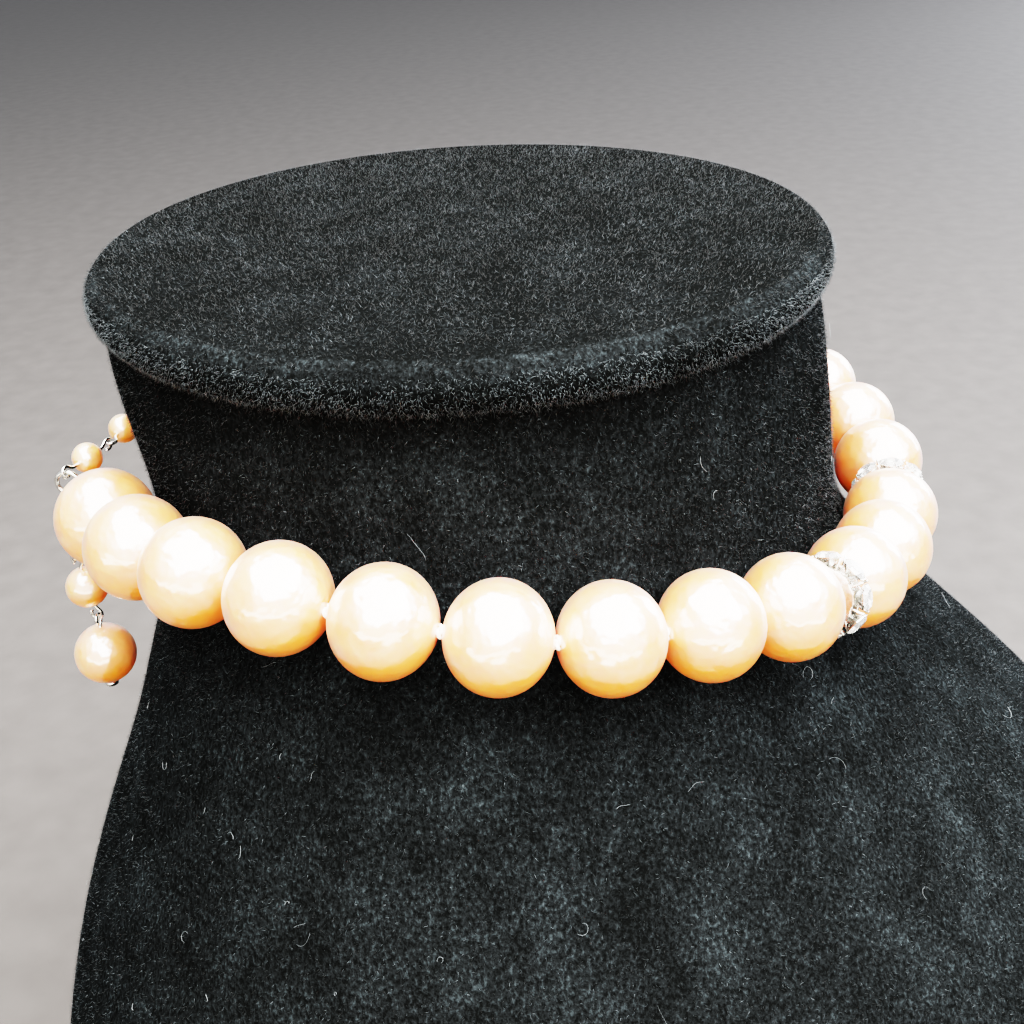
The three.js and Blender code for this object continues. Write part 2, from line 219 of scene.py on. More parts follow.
studio = {
    "floorSize": 8.0,
    "worldColour": "#e9ecf0",
    "worldStrength": 0.5,
    "exposure": 1.0,
    "contrast": "Very High Contrast",
    "aim": (0, 0.02, 0.11),  # the middle of the necklace
    "lamps": (
        # name, place, width and height, watts, colour
        ("overhead", (-0.1, -0.04, 0.5), (0.75, 0.85), 18.0, "#fffaf4"),
        ("front", (-0.85, 0.0, 0.46), (1.6, 0.7), 2.0, "#fff8f0"),
        ("lowFront", (-0.45, 0.0, 0.1), (1.4, 0.09), 1.5, "#fff0d8"),
        ("right", (-0.15, -0.65, 0.75), (0.8, 0.7), 6.5, "#f2f6ff"),
        ("backRight", (1.3, -0.95, 0.4), (0.9, 0.6), 18.0, "#f3f7ff"),
    ),
}


def setStudio():
    startClean()
    bpy.ops.mesh.primitive_plane_add(size=studio["floorSize"])
    floor = bpy.context.object
    floor.name = "floor"
    paint = newMaterial("matt board, pale warm grey")
    place = addNode(paint, "ShaderNodeTexCoord")
    grain = addNode(paint, "ShaderNodeTexNoise", {"Scale": perMetre(9), "Detail": 4.0},
                    {"Vector": place.outputs["Object"]})
    tone = addNode(paint, "ShaderNodeValToRGB", None, {"Fac": grain.outputs["Fac"]})
    rampStops(tone, ((0.3, "#3a3837"), (0.7, "#413f3e")))
    skin = addNode(paint, "ShaderNodeBsdfPrincipled", {"Roughness": 0.8},
                   {"Base Color": tone.outputs["Color"]})
    addNode(paint, "ShaderNodeOutputMaterial", None, {"Surface": skin.outputs["BSDF"]})
    floor.data.materials.append(paint)
    for name, place, size, watts, colour in studio["lamps"]:
        lamp = bpy.data.objects.new(name, bpy.data.lights.new(name, "AREA"))
        bpy.context.scene.collection.objects.link(lamp)
        lamp.data.shape = "RECTANGLE"
        lamp.data.size, lamp.data.size_y = size
        lamp.data.energy = watts
        lamp.data.color = linear(colour)[:3]
        lamp.location = place
        aim = Vector(studio["aim"]) - Vector(place)
        lamp.rotation_euler = aim.to_track_quat("-Z", "Y").to_euler()
    world = bpy.data.worlds.new("studio")
    world.use_nodes = True
    sky = world.node_tree.nodes["Background"].inputs
    sky["Color"].default_value = linear(studio["worldColour"])
    sky["Strength"].default_value = studio["worldStrength"]
    bpy.context.scene.world = world
    film = bpy.context.scene.view_settings
    film.view_transform = "Filmic"
    film.look = studio["contrast"]
    film.exposure = studio["exposure"]


setCamera()
setStudio()
print("camera, floor and light set")


# materials
def pearlLacquer():
    # Imitation pearl: a bead dipped in pearl essence lacquer. A soft wide glow under a clear gloss, cream on
    # top and painted deep gold underneath by the normal, a painted shade; the glow is thinned there too.
    # The coat isn't quite even, so what it mirrors wavers.
    material = newMaterial("imitation pearl, pearl essence lacquer")
    place = addNode(material, "ShaderNodeTexCoord")
    cloud = addNode(material, "ShaderNodeTexNoise", {"Scale": perMetre(4.5), "Detail": 2.0},
                    {"Vector": place.outputs["Object"]})
    pale = addNode(material, "ShaderNodeValToRGB", None, {"Fac": cloud.outputs["Fac"]})
    rampStops(pale, ((0.3, "#e48a42"), (0.7, "#ea944c")))
    deep = addNode(material, "ShaderNodeValToRGB", None, {"Fac": cloud.outputs["Fac"]})
    rampStops(deep, ((0.3, "#ea8836"), (0.7, "#f09040")))
    turned = addNode(material, "ShaderNodeSeparateXYZ", None, {"Vector": place.outputs["Normal"]})
    # painted shade: by the normal's height, the body turns from cream on top to deep gold underneath
    paintedTopLight = addNode(material, "ShaderNodeMapRange", {
        "interpolation_type": "SMOOTHSTEP", "From Min": -0.38, "From Max": 0.0,
    }, {"Value": turned.outputs["Z"]})
    # the mix node's input 0 is its factor, 6 and 7 are its colours, and output 2 is the mixed colour
    body = addNode(material, "ShaderNodeMix", {"data_type": "RGBA"},
                   {0: paintedTopLight.outputs["Result"], 6: deep.outputs["Color"], 7: pale.outputs["Color"]})
    dips = addNode(material, "ShaderNodeTexNoise", {"Scale": perMetre(3), "Detail": 2.0},
                   {"Vector": place.outputs["Object"]})
    bump = addNode(material, "ShaderNodeBump", {"Strength": 0.8, "Distance": 0.5 * mm},
                   {"Height": dips.outputs["Fac"]})
    skin = addNode(material, "ShaderNodeBsdfPrincipled", {
        "Roughness": 0.3, "IOR": 1.5,
        "Subsurface Weight": 1.0, "Subsurface Radius": (1.0, 0.52, 0.13), "Subsurface Scale": 10 * mm,
        "Coat Weight": 0.5, "Coat Roughness": 0.06, "Coat IOR": 1.45,
    }, {"Base Color": body.outputs[2], "Normal": bump.outputs["Normal"]})
    tint = addNode(material, "ShaderNodeValToRGB", None, {"Fac": cloud.outputs["Fac"]})
    rampStops(tint, ((0.36, "#ffe4d8"), (0.46, "#fff4e2"), (0.54, "#f2e8f0"), (0.64, "#ffe6da")))
    glow = addNode(material, "ShaderNodeBsdfGlossy", {"Roughness": 0.48},
                   {"Color": tint.outputs["Color"], "Normal": bump.outputs["Normal"]})
    flash = addNode(material, "ShaderNodeBsdfGlossy", {"Roughness": 0.14, "Color": linear("#fffaf6")},
                    {"Normal": bump.outputs["Normal"]})
    edge = addNode(material, "ShaderNodeLayerWeight", {"Blend": 0.5})
    share = addNode(material, "ShaderNodeMapRange", {
        "interpolation_type": "SMOOTHSTEP", "From Min": 0.33, "From Max": 1.0, "To Min": 0.24, "To Max": 0.78,
    }, {"Value": edge.outputs["Facing"]})
    # the glow is thinned where the shade is painted, so the painted gold stays deep
    dimmed = addNode(material, "ShaderNodeMapRange", {"To Min": 0.2}, {"Value": paintedTopLight.outputs["Result"]})
    glowShare = addNode(material, "ShaderNodeMath", {"operation": "MULTIPLY"},
                        {0: share.outputs["Result"], 1: dimmed.outputs["Result"]})
    nacre = addNode(material, "ShaderNodeMixShader", None, {
        0: glowShare.outputs["Value"], 1: skin.outputs["BSDF"], 2: glow.outputs["BSDF"],
    })
    lacquer = addNode(material, "ShaderNodeMixShader", {"Fac": 0.24},
                      {1: nacre.outputs["Shader"], 2: flash.outputs["BSDF"]})
    addNode(material, "ShaderNodeOutputMaterial", None, {"Surface": lacquer.outputs["Shader"]})
    return material


def silverPlate():
    # Rhodium-bright plating on brass wire, drawn and polished: fine draw lines soften the mirror.
    material = newMaterial("bright silver-tone plating")
    place = addNode(material, "ShaderNodeTexCoord")
    lines = addNode(material, "ShaderNodeTexNoise", {"Scale": perMetre(0.6), "Detail": 4.0},
                    {"Vector": place.outputs["Object"]})
    wear = addNode(material, "ShaderNodeMapRange", {
        "From Min": 0.3, "From Max": 0.7, "To Min": 0.12, "To Max": 0.3,
    }, {"Value": lines.outputs["Fac"]})
    tone = addNode(material, "ShaderNodeValToRGB", None, {"Fac": lines.outputs["Fac"]})
    rampStops(tone, ((0.3, "#c9c8c3"), (0.7, "#e4e3de")))
    skin = addNode(material, "ShaderNodeBsdfPrincipled", {"Metallic": 1.0},
                   {"Base Color": tone.outputs["Color"], "Roughness": wear.outputs["Result"]})
    addNode(material, "ShaderNodeOutputMaterial", None, {"Surface": skin.outputs["BSDF"]})
    return material


def stringingSilk():
    # Twisted silk: the plies show as fine slanting lines with a dry shine.
    material = newMaterial("twisted stringing silk")
    place = addNode(material, "ShaderNodeTexCoord")
    waves = perMetre(0.3) / 6.28  # the wave texture then repeats about every 0.6 mm
    plies = addNode(material, "ShaderNodeTexWave", {"Scale": waves, "Distortion": 2.0},
                    {"Vector": place.outputs["Object"]})
    tone = addNode(material, "ShaderNodeValToRGB", None, {"Fac": plies.outputs["Fac"]})
    rampStops(tone, ((0.2, "#e6dccb"), (0.8, "#fbf6ea")))
    bump = addNode(material, "ShaderNodeBump", {"Strength": 0.4, "Distance": 0.05 * mm},
                   {"Height": plies.outputs["Fac"]})
    skin = addNode(material, "ShaderNodeBsdfPrincipled", {
        "Roughness": 0.6, "Sheen Weight": 0.4, "Sheen Roughness": 0.4,
    }, {"Base Color": tone.outputs["Color"], "Normal": bump.outputs["Normal"]})
    addNode(material, "ShaderNodeOutputMaterial", None, {"Surface": skin.outputs["BSDF"]})
    return material


def cutCrystal():
    # Machine-cut glass stones in bright cups: clear and white at once, with a fine line where facets meet.
    material = newMaterial("cut crystal glass")
    place = addNode(material, "ShaderNodeTexCoord")
    cloud = addNode(material, "ShaderNodeTexNoise", {"Scale": perMetre(1.5), "Detail": 2.0},
                    {"Vector": place.outputs["Object"]})
    tone = addNode(material, "ShaderNodeValToRGB", None, {"Fac": cloud.outputs["Fac"]})
    rampStops(tone, ((0.35, "#eef3f6"), (0.65, "#ffffff")))
    skin = addNode(material, "ShaderNodeBsdfPrincipled", {
        "Roughness": 0.03, "IOR": 1.52, "Transmission Weight": 0.85,
    }, {"Base Color": tone.outputs["Color"]})
    addNode(material, "ShaderNodeOutputMaterial", None, {"Surface": skin.outputs["BSDF"]})
    return material


def flockFibre(name, shade):
    # Cut rayon fibre dyed black, with a thin bright line where light runs along it. The pile was stroked here
    # and there, so patches a few millimetres wide look lighter or darker.
    material = newMaterial(name)
    place = addNode(material, "ShaderNodeTexCoord")
    stroked = addNode(material, "ShaderNodeTexNoise", {"Scale": perMetre(9), "Detail": 3.0},
                      {"Vector": place.outputs["Object"]})
    depth = addNode(material, "ShaderNodeMapRange", {
        "From Min": 0.32, "From Max": 0.68, "To Min": 0.6, "To Max": 1.4,
    }, {"Value": stroked.outputs["Fac"]})
    tone = addNode(material, "ShaderNodeHueSaturation", {"Color": linear(shade)},
                   {"Value": depth.outputs["Result"]})
    skin = addNode(material, "ShaderNodeBsdfPrincipled", {
        "Roughness": 0.5, "Specular IOR Level": 0.4,
    }, {"Base Color": tone.outputs["Color"]})
    addNode(material, "ShaderNodeOutputMaterial", None, {"Surface": skin.outputs["BSDF"]})
    return material


def velvetFlock():
    # Black flock: cut fibres glued on end. The pile swallows light, and the tips that lean into it show as
    # fine grey flecks. Light and shade are painted by the normal: lightest on the slopes, darker on upright
    # walls and darkest on the flat top.
    material = newMaterial("black velvet flock")
    place = addNode(material, "ShaderNodeTexCoord")
    combed = addNode(material, "ShaderNodeMapping", {"Scale": (1, 1, 0.7)},
                     {"Vector": place.outputs["Object"]})
    brushed = addNode(material, "ShaderNodeTexNoise", {
        "Scale": perMetre(9), "Detail": 6.0, "Roughness": 0.75,
    }, {"Vector": place.outputs["Object"]})
    tips = addNode(material, "ShaderNodeTexNoise", {
        "Scale": perMetre(0.45), "Detail": 2.0, "Roughness": 0.75,
    }, {"Vector": combed.outputs["Vector"]})
    shade = addNode(material, "ShaderNodeMix", {"data_type": "FLOAT", "Factor": 0.65},
                    {"A": brushed.outputs["Fac"], "B": tips.outputs["Fac"]})
    facing = addNode(material, "ShaderNodeSeparateXYZ", None, {"Vector": place.outputs["Normal"]})
    # painted light and shade: the normal's height lightens the slopes and darkens the upright walls and the
    # flat top
    paintedSlopeLight = addNode(material, "ShaderNodeValToRGB", None, {"Fac": facing.outputs["Z"]})
    rampStops(paintedSlopeLight, ((0.05, "#585858"), (0.3, "#949494"), (0.75, "#a0a0a0"), (0.88, "#b0b0b0"),
                      (0.985, "#000000")))
    paintedLightShift = addNode(material, "ShaderNodeMapRange", {"To Min": -0.11, "To Max": 0.12},
                      {"Value": paintedSlopeLight.outputs["Color"]})
    depth = addNode(material, "ShaderNodeMath", {"operation": "ADD"},
                    {0: shade.outputs["Result"], 1: paintedLightShift.outputs["Result"]})
    tone = addNode(material, "ShaderNodeValToRGB", None, {"Fac": depth.outputs["Value"]})
    rampStops(tone, ((0.38, "#0a0b0b"), (0.52, "#151718"), (0.62, "#23282a"), (0.74, "#3c4346")))
    bump = addNode(material, "ShaderNodeBump", {"Strength": 1.0, "Distance": 0.3 * mm},
                   {"Height": tips.outputs["Fac"]})
    skin = addNode(material, "ShaderNodeBsdfPrincipled", {
        "Roughness": 1.0, "Specular IOR Level": 0.0,
    }, {"Base Color": tone.outputs["Color"], "Normal": bump.outputs["Normal"]})
    addNode(material, "ShaderNodeOutputMaterial", None, {"Surface": skin.outputs["BSDF"]})
    return material


pearlMaterial = pearlLacquer()
silverMaterial = silverPlate()
silkMaterial = stringingSilk()
crystalMaterial = cutCrystal()
flockMaterial = velvetFlock()
print("materials ready")


# the neck bust
bustForm = {
    "baseHeight": 0.1,  # corners lower than this are on the flat base,
    "baseReach": 50,  # and those farther out than this are on its edge
    "levels": 2,
}


def makeBust():
    bust = copyOfNode("neck_bust", "bust_form")
    editPiece(bust)

    def onBaseEdge(corner):
        return corner.co.z < bustForm["baseHeight"] * mm and corner.co.length > bustForm["baseReach"] * mm

    pick(bust, "edges", lambda edge: all(onBaseEdge(corner) for corner in edge.verts))
    bpy.ops.transform.edge_crease(value=1.0)
    finishEdit()
    modify(bust, "SUBSURF", levels=bustForm["levels"], render_levels=bustForm["levels"])
    smooth(bust, 60)
    return handOver(bust, flockMaterial, "flock", "neck_bust")


bust = makeBust()
print("bust done")

# pearls
pearls = {
    "diameter": 12,
    "length": 11.3,  # along the thread
    "bore": 1.6,
    "mouthBevel": 0.14,
    "segments": 48,
    "rings": 28,
}


def cornersOf(node):
    return numpy.array([v.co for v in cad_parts[node].data.vertices])


def spreadOf(node):  # how far the corners spread along three square axes, least first
    corners = cornersOf(node) - numpy.array(centreOf(node))
    return numpy.linalg.eigh(corners.T @ corners)


def boreAxis(node):  # a bead's drill line: the one axis that its corners spread along unlike the other two
    spreads, axes = spreadOf(node)
    odd = 0 if spreads[1] - spreads[0] > spreads[2] - spreads[1] else 2
    return Vector(axes[:, odd])


def longAxis(node):
    return Vector(spreadOf(node)[1][:, 2])


def drilledPearl(name, diameter, length, bore, segments, rings):
    startClean()
    bpy.ops.mesh.primitive_uv_sphere_add(segments=segments, ring_count=rings, radius=diameter / 2 * mm)
    pearl = bpy.context.object
    pearl.name = name
    editPiece(pearl)
    bpy.ops.mesh.select_all(action="SELECT")
    bpy.ops.transform.resize(value=(1, 1, length / diameter))
    mouthHeight = length / 2 * math.cos(math.asin(bore / diameter)) * mm
    for end in (1, -1):
        bpy.ops.mesh.select_all(action="SELECT")
        bpy.ops.mesh.bisect(plane_co=(0, 0, end * mouthHeight), plane_no=(0, 0, end), clear_outer=True)
    pick(pearl, "edges", lambda edge: edge.is_boundary)
    bpy.ops.mesh.bridge_edge_loops()
    pick(pearl, "edges", lambda edge: all(abs(abs(v.co.z) - mouthHeight) < weld for v in edge.verts))
    bpy.ops.mesh.bevel(offset=pearls["mouthBevel"] * mm, segments=2)
    bpy.ops.mesh.select_all(action="SELECT")
    bpy.ops.mesh.normals_make_consistent(inside=False)
    finishEdit()
    smooth(pearl, 50)
    return pearl


def placeAlong(centre, axis):  # turns +Z to the axis and moves the origin to the centre
    turn = Vector((0, 0, 1)).rotation_difference(axis).to_matrix().to_4x4()
    return Matrix.Translation(centre) @ turn


def makePearls():
    master = drilledPearl("pearl_master", pearls["diameter"], pearls["length"], pearls["bore"],
                          pearls["segments"], pearls["rings"])
    for node in sorted(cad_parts):
        if node.startswith("pearl_"):
            place = placeAlong(centreOf(node), boreAxis(node))
            handOver(copyAt(master, node + "_nacre", place), pearlMaterial, "pearl", node)
    remove(master)


makePearls()
print("pearls done")

# small pearls of the extender, and the drop
smallPearls = {
    "bore": 1.1,
    "segments": 32,
    "rings": 20,
}


def makeSmallPearls():
    beads = [(node, node.replace("pearl", "link")) for node in sorted(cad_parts)
             if node.startswith("extender_pearl")]
    for node, wire in beads + [("drop_pearl", "drop_pin")]:
        low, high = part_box(node)
        diameter = max(high - low) / mm
        bead = drilledPearl(node + "_nacre", diameter, diameter, smallPearls["bore"],
                            smallPearls["segments"], smallPearls["rings"])
        bead.data.transform(placeAlong(centreOf(node), longAxis(wire)))
        handOver(bead, pearlMaterial, "pearl", node)


makeSmallPearls()
print("small pearls done")

# wires: the extender's links, the hook, the ring, the metal cups, the drop's pin and the thread
wires = {
    "fatten": 0.04,  # what rounding a six-sided wire takes off it
    "cupEdge": 75,  # degrees; a cup's lips are sharper than this
    "lipCrease": 0.7,
}


def roundedCopy(node, name, material, slot):
    wire = copyOfNode(node, name)
    editPiece(wire)
    bpy.ops.mesh.select_all(action="SELECT")
    bpy.ops.transform.shrink_fatten(value=wires["fatten"] * mm)
    pick(wire, "edges", lambda edge: edge.calc_face_angle(0) > math.radians(wires["cupEdge"]))
    bpy.ops.transform.edge_crease(value=wires["lipCrease"])
    finishEdit()
    modify(wire, "SUBSURF", levels=1, render_levels=1)
    smooth(wire, 60)
    return handOver(wire, material, slot, node)


def makeWires():
    for node in sorted(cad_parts):
        if "link" in node or node.startswith("bead_tip") or node in ("clasp_hook", "catch_ring", "drop_pin"):
            roundedCopy(node, node + "_wire", silverMaterial, "silver")
    roundedCopy("silk_thread", "silk_thread_twist", silkMaterial, "silk")


makeWires()
print("wires done")

# rondelles: a plated channel with a row of stones set in it
rondelle = {
    "width": 2.5,
    "flangeRadius": 3.45,
    "channelRadius": 2.7,
    "channelWidth": 1.7,
    "bore": 1.6,
    "stones": 8,
    "sidesPerStone": 4,
    "scallop": 0.955,  # how far the flanges dip between the stones
    "scallopShare": 0.26,  # how much of the way from stone to stone the dip takes
    "sharpEdge": 50,  # degrees; edges sharper than this are bevelled
    "edgeBevel": 0.1,
    "stoneSize": (3.2, 1.9),  # round the rim, and along the thread
    "stoneCorners": 8,
    "stoneRise": 4.86,  # radius that the tables reach
    "girdle": 0.1,
    "crown": 0.4,
    "pavilion": 1.25,
    "tableShare": 0.68,
    "tipShare": 0.12,
    "cupOver": (1.06, 1.08),  # how much larger than the stone its cup is
    "cupWall": 0.06,
    "prong": 0.17,  # radius
    "prongSegments": 10,
    "prongRings": 8,
    "prongReach": (3.3, 4.75),  # from the flange up over the stone's edge
    "prongHook": 0.2,
}
facingOut = Matrix(((0, 0, 1, 0), (1, 0, 0, 0), (0, 1, 0, 0), (0, 0, 0, 1)))  # turns +Z out along a radius


def channelBody():
    startClean()
    bpy.ops.mesh.primitive_cylinder_add(
        vertices=rondelle["stones"] * rondelle["sidesPerStone"],
        radius=rondelle["flangeRadius"] * mm, depth=rondelle["width"] * mm)
    body = bpy.context.object
    body.name = "rondelle_master"
    editPiece(body)
    half = rondelle["channelWidth"] / 2 * mm
    for height in (half, -half):
        bpy.ops.mesh.select_all(action="SELECT")
        bpy.ops.mesh.bisect(plane_co=(0, 0, height), plane_no=(0, 0, 1))

    def betweenCuts(face):
        return abs(face.calc_center_median().z) < half and abs(face.normal.z) < square

    def onEnd(face):
        return abs(face.calc_center_median().z) > half + weld and abs(face.normal.z) > square

    pick(body, "faces", betweenCuts)
    bpy.ops.mesh.extrude_region()
    narrow = rondelle["channelRadius"] / rondelle["flangeRadius"]
    bpy.ops.transform.resize(value=(narrow, narrow, 1))
    pick(body, "faces", onEnd)
    bpy.ops.mesh.inset(thickness=(rondelle["flangeRadius"] - rondelle["bore"] / 2) * mm)
    bpy.ops.mesh.delete(type="FACE")
    pick(body, "edges", lambda edge: edge.is_boundary)
    bpy.ops.mesh.bridge_edge_loops()
    stoneAngle = 2 * math.pi / rondelle["stones"]

    def betweenStones(corner):
        turn = math.atan2(corner.co.y, corner.co.x) / stoneAngle
        onRim = corner.co.xy.length > rondelle["channelRadius"] * mm + weld
        return abs(turn - math.floor(turn) - 0.5) < rondelle["scallopShare"] / 2 and onRim

    pick(body, "verts", betweenStones)
    bpy.ops.transform.resize(value=(rondelle["scallop"], rondelle["scallop"], 1))
    pick(body, "edges", lambda edge: edge.calc_face_angle(0) > math.radians(rondelle["sharpEdge"]))
    bpy.ops.mesh.bevel(offset=rondelle["edgeBevel"] * mm, segments=2)
    bpy.ops.mesh.select_all(action="SELECT")
    bpy.ops.mesh.normals_make_consistent(inside=False)
    finishEdit()
    return body


def hookedProng(side):  # stands on the flange at one side of the stones, its tip bent in over them
    startClean()
    bpy.ops.mesh.primitive_uv_sphere_add(
        segments=rondelle["prongSegments"], ring_count=rondelle["prongRings"], radius=rondelle["prong"] * mm)
    prong = bpy.context.object
    low, high = rondelle["prongReach"]
    rise = (high - low - 2 * rondelle["prong"]) * mm
    editPiece(prong)
    pick(prong, "verts", lambda corner: corner.co.z > weld)
    bpy.ops.transform.translate(value=(0, 0, rise))
    pick(prong, "verts", lambda corner: corner.co.z > rise)
    bpy.ops.transform.translate(value=(0, -side * rondelle["prongHook"] * mm, 0))
    finishEdit()
    foot = Vector((low + rondelle["prong"], 0, side * rondelle["channelWidth"] / 2)) * mm
    prong.data.transform(Matrix.Translation(foot) @ facingOut)
    return prong


def channelFrame():
    body = channelBody()
    prongs = [hookedProng(side) for side in (1, -1)]
    pieces = [body]
    for index in range(rondelle["stones"]):
        turn = Matrix.Rotation((index + 0.5) * 2 * math.pi / rondelle["stones"], 4, "Z")
        pieces += [copyAt(prong, "prong", turn) for prong in prongs]
    for prong in prongs:
        remove(prong)
    joinAll(pieces, "rondelle_master")
    smooth(body, 35)
    return body


def cutStone():
    startClean()
    corners = rondelle["stoneCorners"]
    bpy.ops.mesh.primitive_cylinder_add(vertices=corners, radius=0.5, depth=rondelle["girdle"])
    stone = bpy.context.object
    stone.name = "stone_master"
    editPiece(stone)
    bpy.ops.mesh.select_all(action="SELECT")
    bpy.ops.transform.rotate(value=math.pi / corners, orient_axis="Z", center_override=(0, 0, 0))
    pick(stone, "faces", lambda face: face.normal.z > square)
    bpy.ops.mesh.extrude_region()
    bpy.ops.transform.translate(value=(0, 0, rondelle["crown"]))
    bpy.ops.transform.resize(value=(rondelle["tableShare"],) * 2 + (1,))
    pick(stone, "faces", lambda face: face.normal.z < -square)
    bpy.ops.mesh.extrude_region()
    bpy.ops.transform.translate(value=(0, 0, -rondelle["pavilion"]))
    bpy.ops.transform.resize(value=(rondelle["tipShare"],) * 2 + (1,))
    finishEdit()
    around, along = rondelle["stoneSize"]
    stone.data.transform(Matrix.Diagonal((around * mm, along * mm, mm, 1)))
    return stone


def stoneCup(stone):  # the thin metal cup that a stone sits in
    cup = copyAt(stone, "cup_master", Matrix.Diagonal(rondelle["cupOver"] + (1, 1)))
    editPiece(cup)
    girdleTop = rondelle["girdle"] / 2 * mm
    pick(cup, "faces", lambda face: face.calc_center_median().z > girdleTop - weld)
    bpy.ops.mesh.delete(type="FACE")
    finishEdit()
    modify(cup, "SOLIDIFY", thickness=rondelle["cupWall"] * mm, offset=-1)
    return cup


def stonePlace(index):  # the stone's table faces outwards, its long side lies round the rim
    turn = Matrix.Rotation(2 * math.pi * index / rondelle["stones"], 4, "Z")
    middle = rondelle["stoneRise"] - rondelle["crown"] - rondelle["girdle"] / 2
    return turn @ Matrix.Translation((middle * mm, 0, 0)) @ facingOut


def makeRondelles():
    channel = channelFrame()
    stone = cutStone()
    cup = stoneCup(stone)
    for side in ("right", "front", "left"):
        node = "rondelle_" + side
        place = placeAlong(centreOf(node), boreAxis(node))
        stones = [copyAt(stone, "stone", place @ stonePlace(index)) for index in range(rondelle["stones"])]
        handOver(joinAll(stones, node + "_stones"), crystalMaterial, "crystal")
        cups = [copyAt(cup, "cup", place @ stonePlace(index)) for index in range(rondelle["stones"])]
        metal = joinAll([copyAt(channel, "channel", place)] + cups, node + "_channel")
        handOver(metal, silverMaterial, "silver", node)
    for master in (channel, stone, cup):
        remove(master)


makeRondelles()
print("rondelles done")

# silk knots between the beads
knot = {
    "ring": 0.46,  # radius of the knot's turns about the thread
    "swing": 0.2,  # how far the strand weaves in and out
    "strand": 0.2,  # radius of one strand
    "points": 30,
    "turn": 2.4,  # radians from each knot to the next, so that no two look the same
    "endGap": 0.2,  # from the last bead at each end to the knot's middle
}


def tiedKnot():  # an overhand knot drawn tight
    path = bpy.data.curves.new("knot_master", "CURVE")
    path.dimensions = "3D"
    path.bevel_depth = knot["strand"] * mm
    path.bevel_resolution = 1
    line = path.splines.new("POLY")
    line.points.add(knot["points"] - 1)
    line.use_cyclic_u = True
    for index, point in enumerate(line.points):
        turn = 2 * math.pi * index / knot["points"]
        reach = knot["ring"] + knot["swing"] * math.cos(3 * turn)
        rise = knot["swing"] * math.sin(3 * turn)
        at = Vector((reach * math.cos(2 * turn), reach * math.sin(2 * turn), rise))
        point.co = (at * mm).to_4d()
    master = bpy.data.objects.new("knot_master", path)
    bpy.context.scene.collection.objects.link(master)
    useAlone(master)
    bpy.ops.object.convert(target="MESH")
    master = bpy.context.object
    smooth(master, 60)
    return master


def beadsInOrder():  # along the thread, from the pearl beside one bead tip to the one beside the other
    names = ["pearl_%02d" % number for number in range(1, 25)]
    for rondelleName, pearlsBefore in (("rondelle_left", 15), ("rondelle_front", 12), ("rondelle_right", 9)):
        names.insert(pearlsBefore, rondelleName)
    return names


def knotPlaces():
    length = {"pearl": pearls["length"], "rondelle": rondelle["width"]}
    ends = []  # where each bead's hole comes out, at both ends
    beads = beadsInOrder()
    for index, node in enumerate(beads):
        centre = centreOf(node)
        onward = centreOf(beads[min(index + 1, len(beads) - 1)]) - centreOf(beads[max(index - 1, 0)])
        axis = boreAxis(node)
        half = axis * math.copysign(length[node.split("_")[0]] / 2 * mm, axis.dot(onward))
        ends.append((centre - half, centre + half))
    gaps = [(before[1], after[0]) for before, after in zip(ends, ends[1:])]
    places = [placeAlong((first + second) / 2, ends[index + 1][1] - ends[index][0])
              for index, (first, second) in enumerate(gaps)]
    for end, other in (ends[0], ends[-1][::-1]):
        outward = (end - other).normalized()
        places.append(placeAlong(end + outward * knot["endGap"] * mm, outward))
    return places


def makeKnots():
    master = tiedKnot()
    knots = []
    for index, place in enumerate(knotPlaces()):
        turn = Matrix.Rotation(index * knot["turn"], 4, "Z")
        knots.append(copyAt(master, "silk_knot", place @ turn))
    remove(master)
    handOver(joinAll(knots, "silk_knots"), silkMaterial, "silk")


makeKnots()
print("knots done")

# the flock's standing fibres
pile = {
    "seed": 11,
    "length": (0.3, 0.65),
    "root": 0.055,  # thickness where it stands
    "sunk": 0.1,  # how deep it starts under the surface
    "lean": (15, 70),  # degrees from upright
    "hang": 0.6,  # how much they lie downhill, beside 1 for lying any way
    "shades": ("#0e1011", "#1d2123", "#30363a", "#50575b"),
    "zones": (
        # name, lowest and highest point, fibres, share of each shade
        # the shares paint light and shade: the rim gets the lightest fibres, the top the darkest, the neck
        # darker than below
        ("flock_top", 149, 152, 36000, (0.52, 0.34, 0.12, 0.02)),
        ("flock_rim", 144, 149, 22000, (0.05, 0.17, 0.42, 0.36)),
        ("flock_neck", 106, 144, 46000, (0.42, 0.34, 0.18, 0.06)),
        ("flock_shoulders", 52, 106, 46000, (0.34, 0.34, 0.22, 0.1)),
        ("flock_foot", 1.2, 52, 34000, (0.34, 0.34, 0.22, 0.1)),
    ),
    "clearOfPearls": 6.25,  # from a pearl's centre to the nearest tip
}


def trianglesOf(piece):
    mesh = piece.data
    mesh.calc_loop_triangles()
    places = numpy.empty(len(mesh.vertices) * 3)
    mesh.vertices.foreach_get("co", places)
    picks = numpy.empty(len(mesh.loop_triangles) * 3, dtype=numpy.int32)
    mesh.loop_triangles.foreach_get("vertices", picks)
    return places.reshape(-1, 3)[picks.reshape(-1, 3)]


def unit(vectors):
    return vectors / numpy.maximum(numpy.linalg.norm(vectors, axis=1, keepdims=True), 1e-12)


def across(vectors, normals):  # the part of each vector that lies in the surface
    return vectors - normals * (vectors * normals).sum(axis=1, keepdims=True)


def fibreRoots(triangles, count, random):
    sides = numpy.cross(triangles[:, 1] - triangles[:, 0], triangles[:, 2] - triangles[:, 0])
    areas = numpy.linalg.norm(sides, axis=1)
    chosen = random.choice(len(triangles), count, p=areas / areas.sum())
    a, b = random.random((2, count, 1))
    a, b = numpy.where(a + b > 1, 1 - a, a), numpy.where(a + b > 1, 1 - b, b)
    corners = triangles[chosen]
    roots = corners[:, 0] + a * (corners[:, 1] - corners[:, 0]) + b * (corners[:, 2] - corners[:, 0])
    return roots, unit(sides[chosen])


